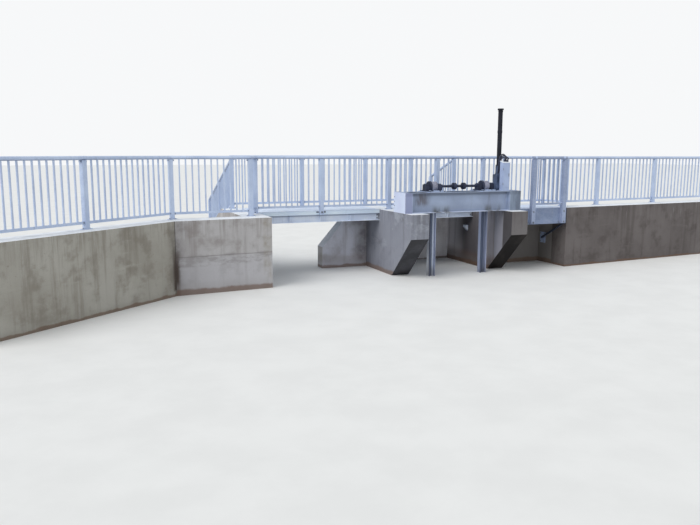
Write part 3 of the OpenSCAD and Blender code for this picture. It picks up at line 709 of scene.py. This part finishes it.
def rail_clips():
    """Clips that hold the bottom and top rails to the posts, with a screw on each side."""
    clips, screws = Piece(), Piece()
    length, cheek, screw_r = 0.026, PICKET / 2 + 0.004, 0.0055
    low, high = FOOT_RAIL_Z + FOOT_RAIL_H / 2, RAIL_H - RAIL_R - 0.018
    for one, two, d in BAYS:
        out = Vector((d.y, -d.x))
        for here, way in ((one, 1), (two, -1)):
            c = here.at + d * way * (here.w / 2 + length / 2)
            for z, h in ((WALL_TOP + low, FOOT_RAIL_H + 0.010), (WALL_TOP + high, 0.030)):
                clips.box((0, 0, 0), (length, 2 * cheek, h), PLATE, placed(c, z, d))
                for s in (1, -1):
                    p = c + out * cheek * s
                    screws.bolt((p.x, p.y, z), (out.x * s, out.y * s, 0.0), screw_r)
    clips.done("rail_clips", "galvanised_steel", "railings")
    screws.done("rail_screws", "bolt_zinc", "railings")


def rail_sleeves():
    """Sleeves where lengths of top rail meet over the posts."""
    sleeves = Piece()
    half, off_post, proud = 0.024, 0.030, 0.0015
    z = WALL_TOP + RAIL_H
    for one, two, d in BAYS:
        for at in (one.at + d * off_post, two.at - d * off_post):
            p, q = at - d * half, at + d * half
            sleeves.rod((p.x, p.y, z), (q.x, q.y, z), RAIL_R + proud, 32, FINE)
    sleeves.done("rail_sleeves", "galvanised_steel", "railings", smooth=True)


def picket_welds():
    """A small fillet round each picket where it meets the bottom rail."""
    welds = Piece()
    size, edge = (PICKET + 0.007, PICKET - 0.001, 0.004), 0.0012
    z = WALL_TOP + FOOT_RAIL_Z + FOOT_RAIL_H + 0.0015
    for one, two, d in BAYS:
        a, b = one.w / 2, (two.at - one.at).length - two.w / 2
        count = max(1, round((b - a) / PICKET_PITCH))
        for k in range(1, count):
            welds.box((0, 0, 0), size, edge, placed(one.at + d * (a + (b - a) * k / count), z, d))
    welds.done("picket_welds", "galvanised_steel", "railings")


def post_feet():
    """Bolted feet of the posts that stand on concrete, with wings along the railing."""
    feet, bolts = Piece(), Piece()
    wing, thick, bolt_r = 0.045, 0.010, 0.009
    for run in RUNS:
        for i, here in enumerate(run):
            if here in HUNG:
                continue
            other = run[i - 1] if i else run[1]
            d = (other.at - here.at).normalized()
            # A post that ends a run has only the wing towards its railing
            for s in (1,) if i in (0, len(run) - 1) else (1, -1):
                c = here.at + d * s * (here.w / 2 + wing / 2)
                size = (wing, here.w + 0.006, thick)
                feet.box((0, 0, 0), size, PLATE, placed(c, WALL_TOP + thick / 2, d))
                bolts.bolt((c.x, c.y, WALL_TOP + thick), UP, bolt_r)
    feet.done("post_feet", "galvanised_steel", "railings")
    bolts.done("foot_bolts", "bolt_zinc", "railings")


def hung_posts():
    """Lugs and bolts that hold the hung posts to the deck's edge and to the platform's fascia."""
    lugs, bolts = Piece(), Piece()
    lug_w, lug_t, lug_bolt_r, post_bolt_r = 0.058, 0.010, 0.010, 0.012
    z = deck_hi.z - 0.018
    face = deck_lo.y - lug_t
    for x in (LEFT_MID, BAY_MID):
        for s in (-1, 1):
            near, far = x + s * POST_W / 2, x + s * (POST_W / 2 + lug_w)
            lugs.box((near, face, deck_lo.z + 0.004), (far, deck_lo.y, deck_hi.z - 0.002), PLATE)
            for out in (0.022, 0.046):
                bolts.bolt((x + s * (POST_W / 2 + out), face, z), FRONT, lug_bolt_r)
        bolts.bolt((x, deck_lo.y - POST_W, z), FRONT, post_bolt_r)
    for x in platform_post_x:
        for z in (fascia_lo.z + 0.045, fascia_hi.z - 0.060):
            bolts.bolt((x, fascia_lo.y - PLATFORM_POST_W, z), FRONT, post_bolt_r)
        for s in (-1, 1):
            beside = x + s * (PLATFORM_POST_W / 2 + 0.020)
            bolts.bolt((beside, fascia_lo.y, fascia_lo.z + 0.030), FRONT, post_bolt_r)
    lugs.done("post_lugs", "deck_steel", "railings")
    bolts.done("post_bolts", "bolt_zinc", "railings")


def deck_planks():
    """Ribbed planks laid across the walkways, with a clip at each end."""
    planks = Piece()
    plank_w, gap, ribs, rib_w, clip_r = 0.23, 0.004, 5, 0.010, 0.014
    for n in ("left_bay_deck", "gate_bay_deck", "platform_deck"):
        lo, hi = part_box(n)
        top, rib_top, clip_top = (hi.z + h for h in (0.004, 0.0065, 0.009))
        count = round((hi.x - lo.x) / plank_w)
        step = (hi.x - lo.x) / count
        for i in range(count):
            x = lo.x + i * step
            planks.box((x + gap, lo.y + 0.003, hi.z), (x + step - gap, hi.y - 0.003, top), THIN)
            for k in range(ribs):
                r = x + step * (k + 0.5) / ribs
                planks.box((r - rib_w / 2, lo.y + 0.02, top), (r + rib_w / 2, hi.y - 0.02, rib_top), FINE)
            for y in (lo.y + 0.035, hi.y - 0.035):
                planks.upright(x + step / 2, y, top, clip_top, clip_r, 16, FINE)
    planks.done("deck_planks", "plank_steel", "deck")


def girder_trim():
    """End cleats, stiffeners and bolts in the open sides of the bridge's channels."""
    plates, bolts = Piece(), Piece()
    flange, web, pitch = 0.075, 0.009, 0.6
    cleat_w, cleat_t, cleat_in, bolt_r = 0.056, 0.010, 0.020, 0.010
    for n in ("left_bay_girders", "gate_bay_girders"):
        lo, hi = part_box(n)
        for face, back, way in ((lo.y, lo.y + flange - web, -1), (hi.y, hi.y - flange + web, 1)):
            count = round((hi.x - lo.x) / pitch)
            for i in range(1, count):
                x = lo.x + (hi.x - lo.x) * i / count
                plates.box((x - 0.004, back, lo.z + web), (x + 0.004, face - way * 0.008, hi.z - web), FINE)
            out = back + way * cleat_t
            for x in (lo.x + 0.030, hi.x - 0.030):
                plates.box((x - cleat_w / 2, back, lo.z + cleat_in),
                           (x + cleat_w / 2, out, hi.z - cleat_in), PLATE)
                for z in (lo.z + 0.045, hi.z - 0.045):
                    bolts.bolt((x, out, z), (0, way, 0), bolt_r)
    plates.done("girder_plates", "girder_steel", "girders")
    bolts.done("girder_bolts", "bolt_zinc", "girders")


def anchor_bolts():
    """Bolts in the knee brace's wall plate, and in the bracket on the right pier."""
    bolts = Piece()
    lo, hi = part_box("knee_brace")
    plate_w, plate_h, inset, bolt_r, bracket_bolt_r = 0.180, 0.234, 0.028, 0.009, 0.014
    for y in (hi.y - plate_w + inset, hi.y - inset):
        for z in (lo.z + inset, lo.z + plate_h - inset):
            bolts.bolt((hi.x - BRACE_PLATE_T, y, z), LEFT, bolt_r)
    lo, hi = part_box("wall_bracket")
    bolts.bolt(((lo.x + hi.x) / 2, (lo.y + hi.y) / 2, hi.z), UP, bracket_bolt_r)
    bolts.done("anchor_bolts", "bolt_zinc", "girders")


# Hoist frame: thickness of its channels, stiffeners along them, bolts up the end boxes' sides
BEAM_T = 0.012
STIFFENERS = (0.52, 1.705)
SIDE_BOLTS_Z = (1.40, 1.48, 1.57)


def frame_trim():
    """Stiffeners, hold-down bolts and end-box bolts of the hoist's frame."""
    plates, bolts = Piece(), Piece()
    rear_lo, rear_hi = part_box("hoist_rear_beam")
    near = rear_lo.y + BEAM_T
    far = near + 0.045
    side_y = boxes_hi.y - 0.035
    hold_down_r, bolt_r, rivet_r = 0.013, 0.010, 0.006
    for at in STIFFENERS:
        plates.box((at - 0.005, near, WALL_TOP + BEAM_T), (at + 0.005, far, BEAM_TOP - BEAM_T), PLATE)
    for at in BEAM_BOLTS:
        for y in (beam_lo.y + 0.040, rear_hi.y - 0.040):
            bolts.bolt((at, y, WALL_TOP + BEAM_T), UP, hold_down_r)
    for x in (boxes_lo.x + 0.035, boxes_lo.x + 0.115, boxes_hi.x - 0.215, boxes_hi.x - 0.035):
        for z in (WALL_TOP + 0.045, BEAM_TOP - 0.045):
            bolts.bolt((x, boxes_hi.y, z), BACK, bolt_r)
    for z in SIDE_BOLTS_Z:
        bolts.bolt((boxes_lo.x, side_y, z), LEFT, rivet_r)
        bolts.bolt((boxes_hi.x, side_y, z), RIGHT, bolt_r)
    plates.done("frame_plates", "hoist_steel", "hoist_paint")
    bolts.done("frame_bolts", "bolt_zinc", "hoist_paint")


def frame_covers():
    """A lip round each end box's top, and hoist-grey edges of the gear units' base plates."""
    strips = Piece()
    lip, rise, edge_w, edge_h = 0.012, 0.004, 0.004, 0.013
    top = BEAM_TOP + rise
    for x0, x1 in ((boxes_lo.x, beam_lo.x), (beam_hi.x, boxes_hi.x)):
        for y in (boxes_lo.y + lip / 2, boxes_hi.y - lip / 2):
            strips.box((x0 + 0.004, y - lip / 2, BEAM_TOP), (x1 - 0.004, y + lip / 2, top), THIN)
    for x in (boxes_lo.x + lip / 2, boxes_hi.x - lip / 2):
        strips.box((x - lip / 2, boxes_lo.y + lip, BEAM_TOP), (x + lip / 2, boxes_hi.y - lip, top), THIN)
    for side, (lo, hi) in UNITS.items():
        # The drive unit stands against the right unit's far edge
        edges = (lo.x - edge_w,) if side == "right" else (lo.x - edge_w, hi.x)
        for x in edges:
            strips.box((x, lo.y + 0.002, BEAM_TOP), (x + edge_w, hi.y - 0.002, BEAM_TOP + edge_h), FINE)
    strips.done("frame_covers", "hoist_steel", "hoist_paint")


# Gear units: places along the shaft from the near end of each unit
DISC_IN, DISC_T, DRUM_L = 0.090, 0.040, 0.120
DRUM_R, DISC_BOLT_CIRCLE = 0.092, 0.082
BASE_T, BLOCK_H, BLOCK_W = 0.014, 0.145, 0.150
FLOOR_Z = BEAM_TOP + BASE_T


def gear_unit_trim(side):
    """Castings, drum shell, ribs and bolts of one gear unit."""
    lo, hi = UNITS[side]
    dark, pale, bolts, ribs = Piece(), Piece(), Piece(), Piece()
    disc, drum = lo.x + DISC_IN, lo.x + DISC_IN + DISC_T
    far_block = drum + DRUM_L
    block_top = BEAM_TOP + BLOCK_H
    small_r, cap_r, base_r = 0.0065, 0.009, 0.010

    # Disc: raised hub, with a bolt circle above the base plate
    dark.ring(disc - 0.006, disc, 0.058, bevel=THIN)
    for dy, dz in circle(12, DISC_BOLT_CIRCLE, 15):
        if SHAFT_Z + dz > FLOOR_Z + 0.02:
            bolts.bolt((disc, SHAFT_Y + dy, SHAFT_Z + dz), LEFT, small_r)
    # Pale drum shell between two bands, with grooves
    pale.ring(drum + 0.004, drum + 0.014, DRUM_R + 0.004)
    pale.ring(far_block - 0.014, far_block - 0.004, DRUM_R + 0.004)
    for k in range(7):
        x = drum + 0.019 + k * 0.012
        pale.ring(x, x + 0.009, DRUM_R + 0.002, bevel=THIN)
    # Bearing blocks: round housings that stand proud of the blocks, cap bolts, feet and a grease nipple
    for x0, x1 in ((lo.x, disc), (far_block, hi.x)):
        mid = (x0 + x1) / 2
        dark.ring(x0 + 0.012, x1 - 0.008, 0.052, 36, CAST)
        for s in (-1, 1):
            for dx in (-0.014, 0.020):
                bolts.bolt((mid + dx, SHAFT_Y + s * (BLOCK_W / 2 - 0.016), block_top), UP, cap_r)
            near, far = SHAFT_Y + s * BLOCK_W / 2, SHAFT_Y + s * (BLOCK_W / 2 + 0.035)
            dark.box((x0 + 0.008, near, FLOOR_Z), (x1 - 0.008, far, FLOOR_Z + 0.020), CAST)
            bolts.bolt((mid, (near + far) / 2, FLOOR_Z + 0.020), UP, cap_r)
        dark.upright(mid, SHAFT_Y, block_top, block_top + 0.018, 0.006, 12, FINE)
    # Base plate: hold-down bolts over the beams and stiffening ribs
    for x in (lo.x + 0.030, hi.x - 0.030):
        for dy in (-0.215, -0.160, 0.160, 0.215):
            bolts.bolt((x, SHAFT_Y + dy, FLOOR_Z), UP, base_r)
    for x in (lo.x + 0.050, drum + 0.030, far_block - 0.030, hi.x - 0.050):
        for s in (-1, 1):
            near, far = SHAFT_Y + s * (BLOCK_W / 2 + 0.002), SHAFT_Y + s * 0.205
            ribs.box((x - 0.005, near, FLOOR_Z), (x + 0.005, far, FLOOR_Z + 0.022), PLATE)
    dark.done(side + "_unit_castings", "black_machinery", "machinery", smooth=True)
    ribs.done(side + "_unit_ribs", "rib_grey", "machinery")
    pale.done(side + "_unit_drum", "drum_grey", "machinery", smooth=True)
    bolts.done(side + "_unit_bolts", "black_machinery", "machinery")


COUPLING_GAP, COUPLING_T, COUPLING_R = 0.210, 0.060, 0.067
HUB_L, HUB_R = 0.020, 0.040


def shaft_couplings():
    """Hubs, keys and bolts of the two couplings, which turn with the shaft."""
    hubs = Piece()
    bolt_circle, bolt_r, key_l, key_w = 0.052, 0.0065, 0.040, 0.012
    for s in (-1, 1):
        c = BAY_MID + s * COUPLING_GAP / 2
        for way in (-1, 1):
            face = c + way * COUPLING_T / 2
            hubs.ring(face, face + way * HUB_L, HUB_R, 32, CAST)
            for dy, dz in circle(6, bolt_circle, 15):
                hubs.bolt((face, SHAFT_Y + dy, SHAFT_Z + dz), (way, 0, 0), bolt_r)
        key = c + s * (COUPLING_T / 2 + HUB_L)
        hubs.box((key, SHAFT_Y - key_w / 2, SHAFT_Z + 0.020),
                 (key + s * key_l, SHAFT_Y + key_w / 2, SHAFT_Z + 0.030), FINE)
        # Raised band round the coupling's rim
        hubs.ring(c - 0.006, c + 0.006, COUPLING_R, 40, THIN)
    hubs.done("shaft_couplings", "black_machinery", "machinery", SHAFT, smooth=True)


DRIVE_BASE_H, DRIVE_MID_H, DRIVE_H = 0.160, 0.330, 0.500
DRIVE_W, DRIVE_MID_W, COLUMN_W = 0.230, 0.156, 0.090


def drive_trim():
    """Flanges, fins, covers and bolts on the drive unit."""
    drive = Piece()
    base_z, mid_z, top_z = (BEAM_TOP + h for h in (DRIVE_BASE_H, DRIVE_MID_H, DRIVE_H))
    flange_t, base_flange_t, small_r, base_r = 0.016, 0.014, 0.006, 0.010
    front, back = SHAFT_Y - DRIVE_W / 2, SHAFT_Y + DRIVE_W / 2
    for z, thick, r in (
        (base_z, base_flange_t, 0.098),
        (mid_z, flange_t, 0.070),
        (top_z - flange_t, flange_t, 0.062),
    ):
        drive.upright(PIPE_X, SHAFT_Y, z, z + thick, r, 40, CAST)
    fins, fin_t, half = 7, 0.007, DRIVE_MID_W / 2 + 0.006
    for k in range(fins):
        z = base_z + 0.026 + k * (DRIVE_MID_H - DRIVE_BASE_H - 0.040) / fins
        drive.box((PIPE_X - half, SHAFT_Y - half, z), (PIPE_X + half, SHAFT_Y + half, z + fin_t), THIN)
    # Worm housing and bearing cover on the lower housing's front and back
    cover_x, cover_z, cover_t = drive_lo.x + 0.045, SHAFT_Z - 0.020, 0.022
    for y0, y1, r in ((front - cover_t, front, 0.042), (back, back + cover_t, 0.048)):
        drive.rod((cover_x, y0, cover_z), (cover_x, y1, cover_z), r, 32, CAST)
    for ring_r, z in ((0.056, mid_z + flange_t), (0.086, base_z + base_flange_t)):
        for dx, dy in circle(6, ring_r):
            drive.bolt((PIPE_X + dx, SHAFT_Y + dy, z), UP, small_r)
    for x in (drive_lo.x + 0.030, drive_hi.x - 0.030):
        for dy in (0.150, 0.210):
            drive.bolt((x, SHAFT_Y + dy, FLOOR_Z), UP, base_r)
    for x in (drive_lo.x + 0.020, drive_hi.x - 0.080):
        drive.box((x, back, FLOOR_Z), (x + 0.010, back + 0.070, FLOOR_Z + 0.060), PLATE)
    drive.done("drive_castings", "drive_black", "machinery", smooth=True)


def smooth_path(points):
    """A curve through the points, as a list of its own closer points."""
    pts = [Vector(p) for p in points]
    steps, path = 9, []
    for i in range(len(pts) - 1):
        p0, p1, p2, p3 = pts[max(i - 1, 0)], pts[i], pts[i + 1], pts[min(i + 2, len(pts) - 1)]
        for k in range(steps):
            t = k / steps
            path.append(0.5 * (2 * p1 + (p2 - p0) * t + (2 * p0 - 5 * p1 + 4 * p2 - p3) * t * t
                               + (3 * p1 - p0 - 3 * p2 + p3) * t ** 3))
    return path + [pts[-1]]


def conduits():
    """Three flexible conduits from the drive's column over to the control post's lid, with glands."""
    tubes = Piece()
    lid = post_hi.z
    tube_r, gland_r, socket_r = 0.0125, 0.019, 0.018
    col_x, col_y = PIPE_X - COLUMN_W / 2, SHAFT_Y - COLUMN_W / 2
    for dx, dy, rise in ((0.000, 0.020, 0.140), (0.036, 0.012, 0.115), (0.070, 0.024, 0.088)):
        end_x, end_y = post_lo.x + 0.050 + dx, post_hi.y - 0.036 - dy
        x, y, z = col_x + 0.010 + dx * 0.6, col_y - 0.004, BEAM_TOP + 0.370 + dx
        tubes.tube(smooth_path([
            (x, y, z),
            (x - 0.020, y - 0.030, lid - 0.10),
            (x - 0.010, y - 0.045, lid + rise * 0.55),
            ((x + end_x) / 2 + 0.030, (y + end_y) / 2, lid + rise),
            (end_x + 0.036, end_y + 0.010, lid + rise * 0.72),
            (end_x + 0.012, end_y, lid + 0.030),
            (end_x + 0.010, end_y, lid - 0.004),
        ]), tube_r)
        tubes.upright(end_x + 0.010, end_y, lid - 0.004, lid + 0.026, gland_r, 20, PLATE)
        tubes.upright(x, y + 0.004, z - 0.020, z + 0.020, socket_r, 20, PLATE)
    tubes.done("conduits", "black_machinery", "machinery", smooth=True)


def control_trim():
    """Door, hinges, latch, skirt, back panel and lid of the control post."""
    door, fittings, lid = Piece(), Piece(), Piece()
    x0, y0, z0 = post_lo
    x1, y1 = post_hi.x, post_hi.y
    rise, panel_edge = 0.030, 0.0012
    front_top = post_hi.z - rise
    door.box((x0 + 0.006, y0 - 0.006, z0 + 0.060), (x1 - 0.006, y0, front_top - 0.030), PLATE)
    door.box((x0 - 0.006, y0 - 0.004, z0), (x1 + 0.006, y1 + 0.006, z0 + 0.012), PLATE)
    door.box((x0 + 0.012, y1, z0 + 0.080), (x1 - 0.012, y1 + 0.004, front_top - 0.060), panel_edge)
    for z in (z0 + 0.110, z0 + 0.400):
        fittings.upright(x0 + 0.004, y0 - 0.005, z, z + 0.045, 0.005, 14, FINE)
    fittings.box((x1 - 0.030, y0 - 0.010, z0 + 0.280), (x1 - 0.018, y0 - 0.006, z0 + 0.340), FINE)
    depth = y1 - y0
    mid = ((x0 + x1) / 2, (y0 + y1) / 2, front_top + rise / 2 + 0.006)
    tilt = Matrix.Translation(mid) @ Matrix.Rotation(math.atan(rise / depth), 4, "X")
    lid.box((0, 0, 0), (x1 - x0 + 0.016, depth + 0.018, 0.012), CAST, tilt)
    door.done("control_door", "control_paint", "control_post")
    fittings.done("control_fittings", "bolt_zinc", "control_post")
    lid.done("control_lid", "cap_white", "control_post")


def pipe_trim():
    """Flanged cap, a joint sleeve and a clamp on the tall pipe."""
    cap, bands = Piece(), Piece()
    top = pipe_hi.z
    cap.upright(PIPE_X, SHAFT_Y, top - 0.0305, top - 0.0005, 0.0595, 40, CAST)
    for z, h, r in (
        (BEAM_TOP + DRIVE_H, 0.018, 0.060),
        (top - 0.48, 0.050, 0.049),
        (top - 0.060, 0.016, 0.050),
    ):
        bands.upright(PIPE_X, SHAFT_Y, z, z + h, r, 40, PLATE)
    cap.done("pipe_cap", "pipe_black", "machinery", smooth=True)
    bands.done("pipe_bands", "pipe_black", "machinery", smooth=True)


rail_clips()
rail_sleeves()
picket_welds()
post_feet()
hung_posts()
deck_planks()
girder_trim()
anchor_bolts()
frame_trim()
frame_covers()
for side in UNITS:
    gear_unit_trim(side)
shaft_couplings()
drive_trim()
conduits()
control_trim()
pipe_trim()


# Camera, fitted to the photograph
CAMERA_AT = Vector((-6.0775, -13.2155, 2.417))
CAMERA_YAW, CAMERA_PITCH, CAMERA_ROLL = (math.radians(a) for a in (22.10, -9.02, 0.207))
SENSOR_W, LENS, CLIP_END = 36.0, 35.69, 300.0
# Light: the sky's colour, its height range and its strength over it, and the sun
SKY, BACKDROP = (0.93, 0.97, 1.0, 1.0), (0.93, 0.94, 0.95, 1.0)
SKY_RANGE, SKY_STRENGTH = (-0.2, 0.8), (0.56, 0.64)
SUN_ENERGY, SUN_WIDTH = 1.7, 40
SUN_COLOUR, SUN_WAY = (1.0, 0.985, 0.96), Vector((0.78, 0.30, -0.85))
FLOOR_SIZE = 240.0


def add_camera():
    """The camera, at its place and turned sideways, up from level and about its own axis."""
    data = bpy.data.cameras.new("camera")
    data.sensor_width = SENSOR_W
    data.lens = LENS
    data.clip_end = CLIP_END
    cam = add_object("camera", data)
    aim = Matrix.Rotation(-CAMERA_YAW, 4, "Z") @ Matrix.Rotation(math.pi / 2 + CAMERA_PITCH, 4, "X")
    cam.matrix_world = Matrix.Translation(CAMERA_AT) @ aim @ Matrix.Rotation(CAMERA_ROLL, 4, "Z")
    scene.camera = cam


def add_world():
    """Soft light that fades towards the ground, and a plain pale backdrop for the camera and gloss."""
    world = bpy.data.worlds.new("world")
    scene.world = world
    world.use_nodes = True
    tree = world.node_tree
    link = tree.links.new
    glow = tree.nodes["Background"]
    coord = add_node(tree, "TexCoord")
    axes = add_node(tree, "SeparateXYZ")
    link(coord.outputs["Generated"], axes.inputs[0])
    grade = add_node(tree, "MapRange")
    for i, v in enumerate((*SKY_RANGE, *SKY_STRENGTH)):
        grade.inputs[i + 1].default_value = v
    link(axes.outputs[2], grade.inputs[0])
    glow.inputs["Color"].default_value = SKY
    link(grade.outputs[0], glow.inputs["Strength"])
    plain = add_node(tree, "Background")
    plain.inputs["Color"].default_value = BACKDROP
    rays = add_node(tree, "LightPath")
    seen = rays.outputs["Is Camera Ray"]
    for other in ("Is Glossy Ray", "Is Transmission Ray"):
        either = add_node(tree, "Math")
        either.operation = "MAXIMUM"
        link(seen, either.inputs[0])
        link(rays.outputs[other], either.inputs[1])
        seen = either.outputs[0]
    pick = add_node(tree, "MixShader")
    link(seen, pick.inputs[0])
    link(glow.outputs[0], pick.inputs[1])
    link(plain.outputs[0], pick.inputs[2])
    link(pick.outputs[0], tree.nodes["World Output"].inputs["Surface"])


def add_sun():
    """A broad, soft sun from the left."""
    data = bpy.data.lights.new("sun", "SUN")
    data.energy = SUN_ENERGY
    data.angle = math.radians(SUN_WIDTH)
    data.color = SUN_COLOUR
    sun = add_object("sun", data)
    sun.rotation_euler = SUN_WAY.to_track_quat("-Z", "Y").to_euler()


def add_floor():
    """A plain pale floor, which isn't part of the object."""
    g = Graph("pale_floor")
    g.base = g.fade((230, 230, 229), (235, 235, 234), g.noise(1.5), 0.3, 0.7)
    bpy.ops.mesh.primitive_plane_add(size=FLOOR_SIZE, location=(0.0, 0.0, 0.0))
    floor = bpy.context.object
    floor.name = "floor"
    floor.data.materials.append(g.finish(0.9))


scene.view_settings.view_transform = "Standard"
add_camera()
add_world()
add_sun()
add_floor()

bpy.context.view_layer.update()
